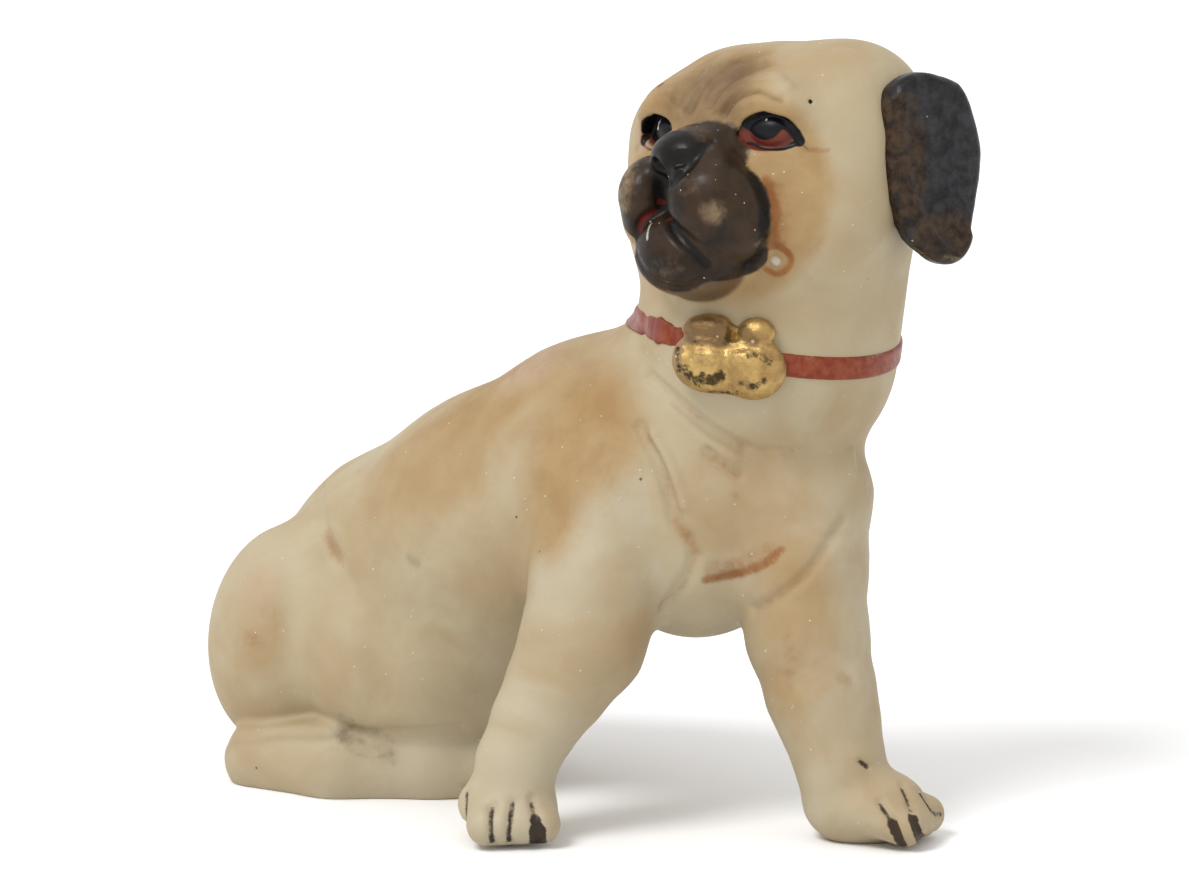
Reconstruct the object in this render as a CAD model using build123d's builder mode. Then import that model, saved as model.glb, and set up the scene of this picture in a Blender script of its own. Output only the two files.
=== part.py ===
"""A seated pug in bisque porcelain, about 100 mm tall.

The figure is slip cast in pieces that are luted together with slip before the firing: a hollow
body, a hollow head that stands on the body's open neck, two forelegs, two hind feet, two ears, a
tail, a relief band for the collar and a bow-shaped bell on the front of the band.

Frame: +Z is up and -Y is the display side, which the chest is turned towards. The rump lies towards
-X. The origin is at the centre of the base, on the surface that the figure stands on. Lengths are in
millimetres.
"""

import os
from math import cos, radians, sin

from build123d import *

# Driving dimensions
WALL = 2.6  # thickness of the cast shell
VENT_RADIUS = 3.0  # hole in the underside that the spare slip was poured out of
HEAD = (23.6, -14.0, 83.0)  # centre of the skull
FACE_YAW = -38.0  # the face looks this far from -Y towards -X
NECK = (21.4, -13.5, 63.2)  # centre of the collar
NECK_RADIUS = 16.4
COLLAR_TILT = 9.5  # the neck leans this far towards +X
COLLAR_HEIGHT = 3.2
COLLAR_RELIEF = 0.8  # the band stands out from the neck
COLLAR_SEAT = 0.5  # and is let into it by this much
RUMP = (-30.0, 17.0, 20.0)
RUMP_YAW = -27.0  # the rump's long axis is turned this far from +X towards -Y
THIGH_SPREAD = 12.0  # from the rump's axis to the centre of each thigh

UP = Vector(0, 0, 1)
BACK = Vector(0, 1, 0)

# Stations are ellipses along a piece: the centre, a half width across and a half width the other way
BODY = [
    ((-47.5, 25.3, 14.5), 3.0, 3.5),
    ((-45.0, 24.0, 15.0), 8.0, 9.0),
    ((-38.5, 21.0, 17.5), 15.5, 18.5),
    ((-27.0, 14.5, 21.5), 18.5, 23.0),
    ((-13.0, 5.0, 28.0), 18.0, 22.0),
    ((1.0, -4.0, 38.5), 17.5, 18.5),
    ((12.0, -10.5, 48.0), 17.0, 17.5),
    ((18.4, -13.0, 57.0), 16.8, 17.0),
    (NECK, NECK_RADIUS, NECK_RADIUS),
    ((22.6, -13.8, 70.0), NECK_RADIUS, NECK_RADIUS),
]
SKULL = [
    ((20.0, -13.5, 57.0), NECK_RADIUS, NECK_RADIUS),
    (NECK, NECK_RADIUS, NECK_RADIUS),
    ((22.6, -13.8, 71.0), 16.8, 16.6),
    ((23.4, -14.0, 79.0), 18.4, 17.8),
    ((23.6, -14.0, 87.5), 18.8, 17.8),
    ((23.8, -13.4, 94.5), 16.2, 15.6),
    ((23.8, -13.2, 98.8), 10.5, 10.0),
    ((23.8, -13.2, 100.3), 3.5, 3.5),
]
MUZZLE = [
    (4.0, -3.0, 9.0, 10.0),
    (12.0, -3.0, 10.6, 11.0),
    (17.5, -3.4, 10.4, 10.8),
    (21.6, -3.6, 8.0, 8.2),
    (23.4, -3.6, 4.2, 4.4),
]  # how far ahead of the skull's centre, how far above it, half width, half height
FORELEG_RIGHT = [
    ((4.8, -14.5, 53.0), 4.0, 3.6),
    ((4.4, -16.0, 51.0), 7.6, 6.8),
    ((3.5, -18.0, 47.0), 10.0, 9.0),
    ((0.5, -21.5, 38.0), 9.5, 8.5),
    ((-3.2, -25.0, 24.0), 7.6, 7.2),
    ((-7.6, -27.5, 14.0), 5.9, 5.9),
    ((-9.8, -28.8, 3.0), 5.0, 5.0),
]
FORELEG_LEFT = [
    ((25.0, -14.6, 52.0), 4.0, 3.6),
    ((25.2, -16.0, 50.2), 7.2, 6.8),
    ((25.6, -18.0, 46.0), 9.4, 9.0),
    ((26.0, -21.0, 37.0), 8.8, 8.5),
    ((27.4, -24.5, 24.0), 7.6, 7.4),
    ((29.8, -26.5, 14.0), 6.1, 6.1),
    ((31.2, -27.5, 3.0), 5.2, 5.2),
]
# Feet lie along the ground: how far along the foot, half width, half height
FOREPAW = [(-7.0, 3.6, 3.4), (-3.0, 5.4, 5.0), (3.0, 5.8, 5.2), (6.8, 4.6, 4.2), (8.4, 2.0, 2.0)]
HIND_FOOT = [
    (-20.0, 2.0, 2.4),
    (-17.5, 4.0, 4.2),
    (-9.0, 5.4, 5.0),
    (9.0, 5.4, 4.7),
    (16.0, 4.0, 3.6),
    (18.5, 1.8, 1.8),
]
SOLE_CUT = 0.84  # the height of a foot's middle over the ground, as a share of its half height
# Where each foot stands, and which way its toes point from +X
FOREPAW_RIGHT = ((-10.4, -30.4), -52.0)
FOREPAW_LEFT = ((35.6, -29.6), -24.0)
HIND_FOOT_RIGHT = ((-28.5, 4.2), -4.0)
HIND_FOOT_LEFT = ((-20.0, 25.5), -30.0)
EAR = [
    (5.4, 3.0, 1.0),
    (4.0, 5.4, 1.7),
    (-1.0, 7.2, 2.0),
    (-8.0, 7.2, 2.0),
    (-14.0, 5.2, 1.8),
    (-18.0, 2.2, 1.2),
]  # height over the ear's root, half width, half thickness
EAR_ROOT = (19.0, 5.0, 9.0)  # out from the head's middle, behind its centre, and above it
EAR_FLARE = 9.0  # the flap's free end stands out by this angle

FLOOR = Plane.XY
collar_plane = Plane(
    origin=NECK,
    x_dir=(cos(radians(COLLAR_TILT)), 0, -sin(radians(COLLAR_TILT))),
    z_dir=(sin(radians(COLLAR_TILT)), 0, cos(radians(COLLAR_TILT))),
)
face_plane = Plane(HEAD).rotated((0, 0, FACE_YAW))
rump_plane = Plane(RUMP).rotated((0, 0, RUMP_YAW))


def plane_at(base, right=0.0, back=0.0, up=0.0, turn=(0, 0, 0)):
    """The base plane moved along its own axes and then turned about them."""
    origin = base.from_local_coords(Vector(right, back, up))
    return Plane(origin, x_dir=base.x_dir, z_dir=base.z_dir).rotated(turn)


def spheroid(place, across, along, mode=Mode.ADD):
    """A ball about the plane's origin, longer or shorter along the plane's normal than across it."""
    with BuildSketch(Plane(place.origin, x_dir=place.x_dir, z_dir=-place.y_dir)) as half:
        with BuildLine():
            EllipticalCenterArc((0, 0), across, along, start_angle=-90, arc_size=180)
            Line((0, along), (0, -along))
        make_face()
    revolve(half.sketch, axis=Axis(place.origin, place.z_dir), mode=mode)


def skin(stations, hint=UP, slimmer=0.0, mode=Mode.ADD):
    """A solid skinned over ellipses whose planes face along the line of their centres."""
    centres = [Vector(*centre) for centre, _, _ in stations]
    last = len(centres) - 1
    sections = []
    for index, (_, across, other) in enumerate(stations):
        along = centres[min(index + 1, last)] - centres[max(index - 1, 0)]
        side = hint.cross(along).normalized()
        with BuildSketch(Plane(centres[index], x_dir=side, z_dir=along.normalized())) as section:
            Ellipse(across - slimmer, other - slimmer)
        sections.append(section.sketch)
    loft(sections, mode=mode)


# The band is a plain ring, set over the joint between the body and the head
with BuildPart() as collar_band:
    with Locations(collar_plane):
        Cylinder(NECK_RADIUS + COLLAR_RELIEF, COLLAR_HEIGHT)
        Cylinder(NECK_RADIUS - COLLAR_SEAT, COLLAR_HEIGHT, mode=Mode.SUBTRACT)

with BuildPart() as band_seat:
    with Locations(collar_plane):
        Cylinder(NECK_RADIUS + 4 * COLLAR_RELIEF, COLLAR_HEIGHT)
        Cylinder(NECK_RADIUS - COLLAR_SEAT, COLLAR_HEIGHT, mode=Mode.SUBTRACT)

# The outsides of the two hollow castings, which the other pieces are cut back to
with BuildPart() as body_form:
    skin(BODY)
    for side in (-1, 1):
        spheroid(plane_at(rump_plane, -1.0, side * THIGH_SPREAD, 3.0), 11.8, 15.4)
    split(bisect_by=collar_plane, keep=Keep.BOTTOM)
    add(band_seat.part, mode=Mode.SUBTRACT)
    split(bisect_by=FLOOR, keep=Keep.TOP)

with BuildPart() as head_form:
    skin(SKULL, hint=face_plane.y_dir)
    skin(
        [
            (tuple(face_plane.from_local_coords(Vector(0, -ahead, up))), across, high)
            for ahead, up, across, high in MUZZLE
        ]
    )
    split(bisect_by=collar_plane, keep=Keep.TOP)
    add(band_seat.part, mode=Mode.SUBTRACT)

# The castings
with BuildPart() as body_shell:
    add(body_form.part)
    skin(BODY[2:], slimmer=WALL, mode=Mode.SUBTRACT)
    with Locations((RUMP[0] + 4, RUMP[1] - 2, 0)):
        Cylinder(VENT_RADIUS, 12, mode=Mode.SUBTRACT)

with BuildPart() as head_shell:
    add(head_form.part)
    skin(SKULL[:-1], hint=face_plane.y_dir, slimmer=WALL, mode=Mode.SUBTRACT)


def foot_stations(place, sizes):
    """Stations of a foot that lies along the ground, with its lower edge just under the floor."""
    (x, y), toes = place
    ground = Plane((x, y, 0)).rotated((0, 0, toes))
    return [
        (tuple(ground.from_local_coords(Vector(along, 0, SOLE_CUT * high))), across, high)
        for along, across, high in sizes
    ]


def foreleg(stations, paw):
    """A solid casting from the shoulder down to the paw, with a flat sole."""
    with BuildPart() as leg:
        skin(stations, hint=BACK)
        skin(foot_stations(paw, FOREPAW))
        split(bisect_by=FLOOR, keep=Keep.TOP)
        add(body_form.part, mode=Mode.SUBTRACT)
    return leg


def hind_foot(place):
    """A solid casting that lies on the ground beside the rump."""
    with BuildPart() as foot:
        skin(foot_stations(place, HIND_FOOT))
        split(bisect_by=FLOOR, keep=Keep.TOP)
        add(body_form.part, mode=Mode.SUBTRACT)
    return foot


def ear(side):
    """A leaf-shaped flap that hangs from the side of the skull."""
    out, back, up = EAR_ROOT
    root = plane_at(face_plane, side * out, back, up, (0, side * -EAR_FLARE, 0))
    with BuildPart() as flap:
        for height, across, thick in EAR:
            with BuildSketch(plane_at(root, 0, 0, height)):
                Ellipse(thick, across)
        loft()
        add(head_form.part, mode=Mode.SUBTRACT)
    return flap


foreleg_right = foreleg(FORELEG_RIGHT, FOREPAW_RIGHT)
foreleg_left = foreleg(FORELEG_LEFT, FOREPAW_LEFT)
hind_foot_right = hind_foot(HIND_FOOT_RIGHT)
hind_foot_left = hind_foot(HIND_FOOT_LEFT)
ear_left = ear(1)
ear_right = ear(-1)

with BuildPart() as tail:
    spheroid(plane_at(rump_plane, -17.0, -2.0, -9.0, (0, 60, 0)), 4.6, 6.0)
    spheroid(plane_at(rump_plane, -18.0, 3.0, -4.0, (40, 0, 0)), 4.0, 5.0)
    split(bisect_by=FLOOR, keep=Keep.TOP)
    add(body_form.part, mode=Mode.SUBTRACT)

# The bell is modelled on the front of the band
with BuildPart() as bow_bell:
    for side in (-1, 1):
        spheroid(plane_at(collar_plane, -3.4 + side * 3.2, -NECK_RADIUS - 1.0, -0.8), 3.9, 4.4)
        spheroid(plane_at(collar_plane, -3.4 + side * 2.9, -NECK_RADIUS - 0.6, 3.4), 2.4, 2.2)
    add(body_form.part, mode=Mode.SUBTRACT)
    add(head_form.part, mode=Mode.SUBTRACT)
    add(collar_band.part, mode=Mode.SUBTRACT)

pieces = {
    "body_shell": body_shell,
    "head_shell": head_shell,
    "foreleg_left": foreleg_left,
    "foreleg_right": foreleg_right,
    "hind_foot_left": hind_foot_left,
    "hind_foot_right": hind_foot_right,
    "ear_left": ear_left,
    "ear_right": ear_right,
    "tail": tail,
    "collar_band": collar_band,
    "bow_bell": bow_bell,
}

# The origin is put at the centre of the whole figure's base
boxes = [piece.part.bounding_box() for piece in pieces.values()]
low = Vector(*(min(tuple(box.min)[i] for box in boxes) for i in range(3)))
high = Vector(*(max(tuple(box.max)[i] for box in boxes) for i in range(3)))
middle = (low + high) / 2
to_origin = Location((-middle.X, -middle.Y, 0))
print("size", high - low, "moved by", to_origin.position, "lowest", low.Z)
os.makedirs("parts", exist_ok=True)
for name, piece in pieces.items():
    piece.part.label = name
    export_step(piece.part.moved(to_origin), f"parts/{name}.step")
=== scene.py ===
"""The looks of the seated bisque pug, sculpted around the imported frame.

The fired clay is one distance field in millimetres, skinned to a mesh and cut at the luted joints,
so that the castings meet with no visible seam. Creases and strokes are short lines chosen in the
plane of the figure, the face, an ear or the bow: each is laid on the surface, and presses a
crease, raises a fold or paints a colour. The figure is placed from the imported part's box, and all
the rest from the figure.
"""

from math import cos, pi, radians, sin

import bpy
import numpy as np
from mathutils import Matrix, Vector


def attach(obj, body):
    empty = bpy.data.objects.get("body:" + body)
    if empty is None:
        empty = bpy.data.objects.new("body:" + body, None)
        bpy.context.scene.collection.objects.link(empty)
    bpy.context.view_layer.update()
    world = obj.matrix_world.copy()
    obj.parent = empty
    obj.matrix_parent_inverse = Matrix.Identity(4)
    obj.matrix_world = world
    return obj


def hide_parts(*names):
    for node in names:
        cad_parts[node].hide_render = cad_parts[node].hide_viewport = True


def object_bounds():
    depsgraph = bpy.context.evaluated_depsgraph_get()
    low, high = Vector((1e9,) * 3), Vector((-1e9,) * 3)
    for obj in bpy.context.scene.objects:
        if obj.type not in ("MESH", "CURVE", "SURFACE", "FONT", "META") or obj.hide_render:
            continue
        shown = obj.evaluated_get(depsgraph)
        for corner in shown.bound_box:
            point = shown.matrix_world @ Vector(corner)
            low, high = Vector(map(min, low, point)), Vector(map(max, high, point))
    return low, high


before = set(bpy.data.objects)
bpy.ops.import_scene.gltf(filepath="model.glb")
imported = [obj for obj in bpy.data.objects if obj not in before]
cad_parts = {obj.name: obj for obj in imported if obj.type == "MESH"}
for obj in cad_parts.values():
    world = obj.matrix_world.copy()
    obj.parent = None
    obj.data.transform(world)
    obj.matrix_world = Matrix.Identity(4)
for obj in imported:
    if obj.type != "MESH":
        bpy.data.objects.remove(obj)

import openvdb
from mathutils import Vector

MM = 0.001
CAD_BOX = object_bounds()
OFF_MIDDLE = (2.06, -0.29)    # the figure's origin, from the middle of the CAD box in plan, mm


# ------ places

class Place:
    """An origin and three axes, with coordinates in millimetres."""

    def __init__(self, origin, axes):
        self.origin = np.array(origin, np.float32)
        self.axes = np.array(axes, np.float32)

    def into(self, p):
        return (p - self.origin) @ self.axes.T

    def out(self, q):
        return np.asarray(q, np.float32) @ self.axes + self.origin

    def moved(self, offset, turns=()):
        """This place moved along its own axes and turned about them by (axis, degrees) pairs."""
        axes = self.axes
        for axis, degrees in turns:
            c, s = cos(radians(degrees)), sin(radians(degrees))
            i, j = [(1, 2), (2, 0), (0, 1)]["xyz".index(axis)]
            turn = np.eye(3, dtype=np.float32)
            turn[i, i], turn[i, j], turn[j, i], turn[j, j] = c, s, -s, c
            axes = turn @ axes
        return Place(self.out(np.array(offset, np.float32)), axes)


low, high = (np.array(corner) / MM for corner in CAD_BOX)
middle = (low + high) / 2
FIGURE = Place((middle[0] + OFF_MIDDLE[0], middle[1] + OFF_MIDDLE[1], low[2]), np.eye(3))
SKULL = FIGURE.moved((23.8, -14, 82.8), [("z", -41), ("y", -6)])
RUMP = FIGURE.moved((-30, 17, 20), [("z", -27)])
COLLAR = FIGURE.moved((21.4, -13.5, 63.2), [("y", 9.5), ("x", 5)])


# ------ distance fields

def length(v):
    return np.sqrt(np.einsum("ij,ij->i", v, v))


def join(a, b, soft):
    """The union of two fields, with a fillet of about this size."""
    h = np.clip(0.5 + 0.5 * (b - a) / soft, 0, 1)
    return b + (a - b) * h - soft * h * (1 - h)


def overlap(a, b, soft):
    """What two fields share, with a rounded edge of about this size."""
    return -join(-a, -b, soft)


def carve(a, b, soft):
    """Field a with field b taken away."""
    return -join(-a, b, soft)


def egg(place, at, radii, turns=()):
    """An ellipsoid in a place's own coordinates."""
    spot = place.moved(at, turns)
    radii = np.array(radii, np.float32)

    def field(p):
        q = spot.into(p)
        a = length(q / radii)
        b = length(q / (radii * radii))
        return a * (a - 1) / np.maximum(b, 1e-6)

    return field


def limb(place, stations, soft=1):
    """A chain of tapered capsules through (x, y, z, radius) stations."""
    stations = np.array(stations, np.float32)
    ends = [place.out(s[:3]) for s in stations]
    sizes = stations[:, 3]

    def field(p):
        whole = None
        for a, b, ra, rb in zip(ends, ends[1:], sizes, sizes[1:]):
            along = b - a
            t = np.clip((p - a) @ along / (along @ along), 0, 1)
            d = length(p - a - t[:, None] * along) - (ra + (rb - ra) * t)
            whole = d if whole is None else join(whole, d, soft)
        return whole

    return field


def blend(parts):
    """Joins (field, fillet) pairs one after the other."""

    def field(p):
        whole = parts[0][0](p)
        for part, soft in parts[1:]:
            whole = join(whole, part(p), soft)
        return whole

    return field


def both(place, at, radii, turns=()):
    """Two eggs, one on each side of a place's middle."""
    x, y, z = at
    mirrored = [(axis, -degrees if axis in "yz" else degrees) for axis, degrees in turns]
    right = egg(place, (-x, y, z), radii, mirrored)
    left = egg(place, at, radii, turns)
    return lambda p: np.minimum(left(p), right(p))


# ------ the sculpt

trunk = limb(FIGURE, [
    (-31.6, 17.6, 17.8, 15),
    (-23, 12.8, 24.3, 17.9),
    (-10, 4.2, 32.2, 19.6),
    (2, -4.6, 42, 18),
    (14, -10.6, 50, 15.5),
    (19.6, -13, 54, 13),
], 2)
neck = limb(FIGURE, [(21.7, -13.3, 60.5, 16.8), (23.4, -13.6, 73, 16.6)])
belly = egg(FIGURE, (-22, 4, 17), (17, 14, 13.5))
chest = egg(FIGURE, (14, -13, 41), (15, 15.5, 18), [("y", 12)])
haunches = blend([
    (egg(RUMP, (-5.3, -11, -1.8), (10.6, 9.8, 15), [("y", 9)]), 0),
    (egg(RUMP, (-5, 11, -1.8), (10.4, 9.5, 15), [("y", 9)]), 2),
])
tail = limb(RUMP, [(-14.5, -4, -10, 3.6), (-17.5, 0, -6, 3.8), (-16, 4, -2, 3.4)], 1)
slab_right = limb(FIGURE, [
    (-42.6, 5, 3, 5.4),
    (-33, -0.4, 3.4, 6.2),
    (-21, -0.8, 4, 6.4),
    (-12.5, -2, 3.4, 4.8),
], 1.5)
slab_left = limb(FIGURE, [
    (-32, 33, 3, 5.2),
    (-23, 28.5, 3.6, 6),
    (-15, 22.5, 3.6, 5.4),
    (-11, 19.5, 3, 4.4),
], 1.5)
leg_right = limb(FIGURE, [
    (5, -14, 50, 7),
    (3.2, -17.5, 41.5, 9.2),
    (0.8, -21, 32.5, 8.8),
    (-1.6, -23.5, 24.5, 7.8),
    (-4.6, -25.3, 19.5, 6.4),
    (-7.4, -26.6, 15, 5.4),
    (-9.8, -27.6, 10, 4.9),
    (-10.4, -28.6, 5.5, 5),
], 1.5)
leg_left = limb(FIGURE, [
    (25, -14.5, 50.5, 7.6),
    (25.7, -18.2, 42.5, 9.3),
    (25.8, -21.4, 34, 8.6),
    (26.9, -24, 25.5, 7.6),
    (28.6, -25.6, 18.5, 6.8),
    (29.8, -26.2, 14.5, 6.1),
    (31, -27, 9.8, 5.5),
    (32, -27.6, 5, 5.3),
], 1.5)
PAW_RIGHT = FIGURE.moved((-11.1, -27.6, 0), [("z", -80)])
PAW_LEFT = FIGURE.moved((35.2, -28.6, 0), [("z", -20)])


def paw(place, back, front, spread):
    """A paw whose toes point along the place's x axis."""
    toes = [(limb(place, [(0, across, 4.6, 2.9), (front - 2.6, across * spread, 3, 2.5)]), 0.9)
            for across in (-3.3, -1.1, 1.1, 3.3)]
    return blend([(egg(place, (-1, 0, 4.6), (back, 5.2, 5)), 0)] + toes)


foreleg_right = blend([(leg_right, 0), (paw(PAW_RIGHT, 6, 8, 1.05), 1.5)])
foreleg_left = blend([(leg_left, 0), (paw(PAW_LEFT, 8, 8.2, 1.15), 1.5)])

skull = blend([
    (egg(SKULL, (0, 0.5, 0), (18, 17, 16.8)), 0),
    (egg(SKULL, (9.6, 2.5, 6.8), (8.8, 11, 9.8)), 4),
    (egg(SKULL, (-9, 2.5, 6), (8.6, 10.6, 9.4)), 4),
    (egg(SKULL, (-11.8, -6.2, 4.4), (5.4, 6.6, 7.4)), 4),
    (egg(SKULL, (0, -5.2, 5.2), (12.8, 9.2, 9.4)), 4),
    (both(SKULL, (10.5, -6, -5), (8, 8.5, 9.5)), 4),
    (both(SKULL, (7.4, -9.8, 9.6), (4.8, 4.6, 3.4)), 2.5),
    (egg(SKULL, (0, -12, -1), (9.6, 8.5, 9)), 3),
])
MUZZLE = SKULL.moved((-1.3, 0, 0), [("z", -2)])
lips = blend([
    (egg(MUZZLE, (6.1, -18.4, -0.6), (5.9, 5.9, 5.7)), 0),
    (egg(MUZZLE, (7.4, -17, -3.8), (5.4, 5.8, 5.2)), 2),
    (egg(MUZZLE, (-4, -18.2, -0.4), (4, 5.2, 5)), 0.4),
    (egg(MUZZLE, (-4.6, -17, -3.4), (4.1, 5.2, 4.6)), 1),
])
nose = blend([
    (egg(SKULL, (0.5, -19.2, 4.5), (4.6, 3.8, 3.5)), 0),
    (egg(SKULL, (1, -15, 4.6), (5.4, 5, 4)), 2),
])
nostrils = both(SKULL.moved((0.5, 0, 0)), (2.2, -22.4, 3.9), (1, 1.5, 0.7), [("y", -20)])
chin = egg(MUZZLE, (1.6, -18.4, -7.4), (7.6, 6.4, 5.7))
EYES = SKULL.moved((0.7, 0, 0))
sockets = both(EYES, (8.9, -13.9, 7), (3.6, 2.2, 2.2), [("z", 32)])
eyes = both(EYES, (8.3, -11.2, 7), (3.5, 2.4, 2.4), [("z", 32)])

EAR = SKULL.moved((20.6, 4.4, 5.4), [("z", 72)])
FAR_EAR = SKULL.moved((0.6, 0, 0), [("z", -3), ("y", -2)])    # the ears' plane of symmetry
EAR_CURL, EAR_HALF, EAR_EDGE = 0.02, 0.6, 1.1    # its curl, and its flat half and its rim, mm
leaf = limb(Place((0, 0, 0), np.eye(3)), [
    (-2, 0, 2.8, 4),
    (0.2, 0, 0.6, 5.7),
    (0.5, 0, -3.6, 6.5),
    (0, 0, -8, 5.8),
    (0.4, 0, -12, 4.2),
    (1.2, 0, -14.4, 2.7),
], 2.5)
ear_root = egg(EAR, (-1, 3, 2), (4.6, 3.6, 3.6))


def ear_plate(p):
    """A leaf that hangs from the skull: x runs from its front edge to its back edge."""
    q = EAR.into(p)
    outline = leaf(q * np.array([1, 0, 1], np.float32)) + EAR_EDGE
    side = np.abs(q[:, 1] - EAR_CURL * q[:, 0] ** 2) - EAR_HALF
    rim = np.sqrt(np.maximum(outline, 0) ** 2 + np.maximum(side, 0) ** 2)
    plate = rim + np.minimum(np.maximum(outline, side), 0) - EAR_EDGE
    return join(plate, ear_root(p), 2)


def flipped(p):
    """Points mirrored from one ear's side of the skull to the other's."""
    q = FAR_EAR.into(p)
    q[:, 0] = -q[:, 0]
    return FAR_EAR.out(q)


BOW = FIGURE.moved((17, -29.6, 62.4), [("z", -14), ("x", 4)])
bow = blend([
    (egg(BOW, (-3, -0.4, -0.7), (4.4, 2.7, 4)), 0),
    (egg(BOW, (3, -0.4, -1.4), (4.2, 2.7, 4)), 0.8),
    (egg(BOW, (0, -0.3, -1.2), (4.2, 2.4, 3.4)), 1.5),
    (egg(BOW, (-2.6, 0.2, 3.2), (3.6, 1.9, 2)), 0.4),
    (egg(BOW, (3.3, 0.2, 3.1), (2.5, 1.8, 1.9)), 0.4),
])


BAND_HALF, BAND_SUNK, BAND_DEEP = 1.5, 0.6, 0.95    # half height, depth of its middle, half depth, mm
# How far the collar sags at the dog's back, where that starts, and its runs in y and x, mm.
SAG, SAG_START, SAG_RUN, SAG_SIDE = 2, -11, 14, 8


def band(p):
    """The relief band that follows the neck."""
    shell = np.abs(clay(p) + BAND_SUNK) - BAND_DEEP
    return overlap(shell, band_edge(p), 0.6)


def above_collar(p):
    """How far a point lies above the middle of the collar, which sags towards the dog's back."""
    q = COLLAR.into(p)
    back = np.clip((q[:, 1] - SAG_START) / SAG_RUN, 0, 1)
    return q[:, 2] + SAG * back * np.clip(-q[:, 0] / SAG_SIDE, 0, 1)


def band_edge(p):
    """How far a point lies outside the band's two edges."""
    return np.abs(above_collar(p)) - BAND_HALF


def clay(p):
    """The whole figure, apart from its ears, collar and bow."""
    body = join(join(trunk(p), chest(p), 3), belly(p), 5)
    body = join(body, neck(p), 2.2)
    body = join(body, haunches(p), 2.5)
    body = join(body, join(slab_right(p), slab_left(p), 1), 1.2)
    body = join(body, tail(p), 1)
    body = join(join(body, foreleg_right(p), 3), foreleg_left(p), 3)
    head = skull(p)
    head = join(head, nose(p), 1.2)
    head = carve(head, nostrils(p), 0.4)
    head = join(head, join(lips(p), chin(p), 0.5), 1.6)
    head = carve(head, sockets(p), 0.8)
    head = join(head, eyes(p), 0.35)
    whole = join(body, head, 3)
    return np.maximum(whole, FIGURE.origin[2] - p[:, 2])


# ------ lines drawn on the clay

DROP = 42       # how far out a drawn line starts before it falls onto the clay, mm
FALLS, CAUTION, LONGEST = 60, 0.8, 6    # the fall's steps, each one's share of the gap, and its limit, mm
FADED = 2.2     # how many widths from its line a crease has faded out
PROBE, SHADING_PROBE = 0.05, 0.1    # how far from a point a field's slope is measured, mm


def slope_of(field, points, h):
    """The gradient of a field."""
    sides = []
    for axis in range(3):
        offset = np.zeros(3, np.float32)
        offset[axis] = h
        sides.append((in_chunks(field, points + offset) - in_chunks(field, points - offset)) / (2 * h))
    return np.stack(sides, 1)


def in_chunks(field, points, size=300000):
    return np.concatenate([field(points[i:i + size]) for i in range(0, len(points), size)])


def settle(field, points, reach, rounds=2):
    """Points moved onto a field's surface, each by no more than this reach in a round."""
    for _ in range(rounds):
        slope = slope_of(field, points, PROBE)
        shift = in_chunks(field, points) / np.maximum((slope * slope).sum(1), 0.25)
        points = points - np.clip(shift, -reach, reach)[:, None] * slope
    return points


def smooth_line(points, per_step=5):
    """A Catmull-Rom line through a few points."""
    points = np.array(points, np.float32)
    if len(points) == 1:
        return points
    padded = np.vstack([2 * points[0] - points[1], points, 2 * points[-1] - points[-2]])
    line = []
    for a, b, c, d in zip(padded, padded[1:], padded[2:], padded[3:]):
        for t in np.arange(per_step) / per_step:
            bend = (2 * a - 5 * b + 4 * c - d) * t * t + (3 * b - a - 3 * c + d) * t ** 3
            line.append(0.5 * (2 * b + (c - a) * t + bend))
    return np.array(line + [points[-1]], np.float32)


class Line:
    """Points along a line that lies on the clay."""

    def __init__(self, at):
        self.at = at

    def near(self, p, reach):
        """The points of p within reach of the line, and how far from it they are."""
        low, high = self.at.min(0) - reach, self.at.max(0) + reach
        chosen = np.nonzero(np.all((p > low) & (p < high), 1))[0]
        q = p[chosen]
        gap = length(q - self.at[0])
        for a, b in zip(self.at, self.at[1:]):
            along = b - a
            t = np.clip((q - a) @ along / max(float(along @ along), 1e-6), 0, 1)
            gap = np.minimum(gap, length(q - a - t[:, None] * along))
        inside = gap < reach
        return chosen[inside], gap[inside]


def pressed(field, marks):
    """A field with (line, width, depth) marks pressed into it, or raised where depth is negative."""

    def marked(p):
        d = field(p)
        for line, width, depth in marks:
            chosen, gap = line.near(p, FADED * width)
            d[chosen] += depth * np.exp(-(gap / width) ** 2)
        return d

    return marked


def dropped(field, drawings):
    """Lines from (place, points) drawings, each dropped along its place's y axis onto a field."""
    drawn = [smooth_line(points) for _, points in drawings]
    starts = [np.stack([line[:, 0], np.full(len(line), -DROP), line[:, 1]], 1) for line in drawn]
    at = np.concatenate([place.out(start) for (place, _), start in zip(drawings, starts)])
    ahead = np.concatenate([np.tile(place.axes[1], (len(line), 1))
                            for (place, _), line in zip(drawings, drawn)])
    nearest, best = field(at), at.copy()
    for _ in range(FALLS):
        gap = field(at)
        closer = gap < nearest
        best[closer] = at[closer]
        nearest = np.minimum(gap, nearest)
        at = at + (CAUTION * np.clip(gap, 0, LONGEST))[:, None] * ahead
    best = settle(field, best, 2, 3)
    ends = np.cumsum([len(line) for line in drawn])[:-1]
    return [Line(part) for part in np.split(best, ends)]


# ------ creases and folds

def far(points):
    """An eye's line on the face's far side."""
    return [(1 - x, z) for x, z in points]


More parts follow.
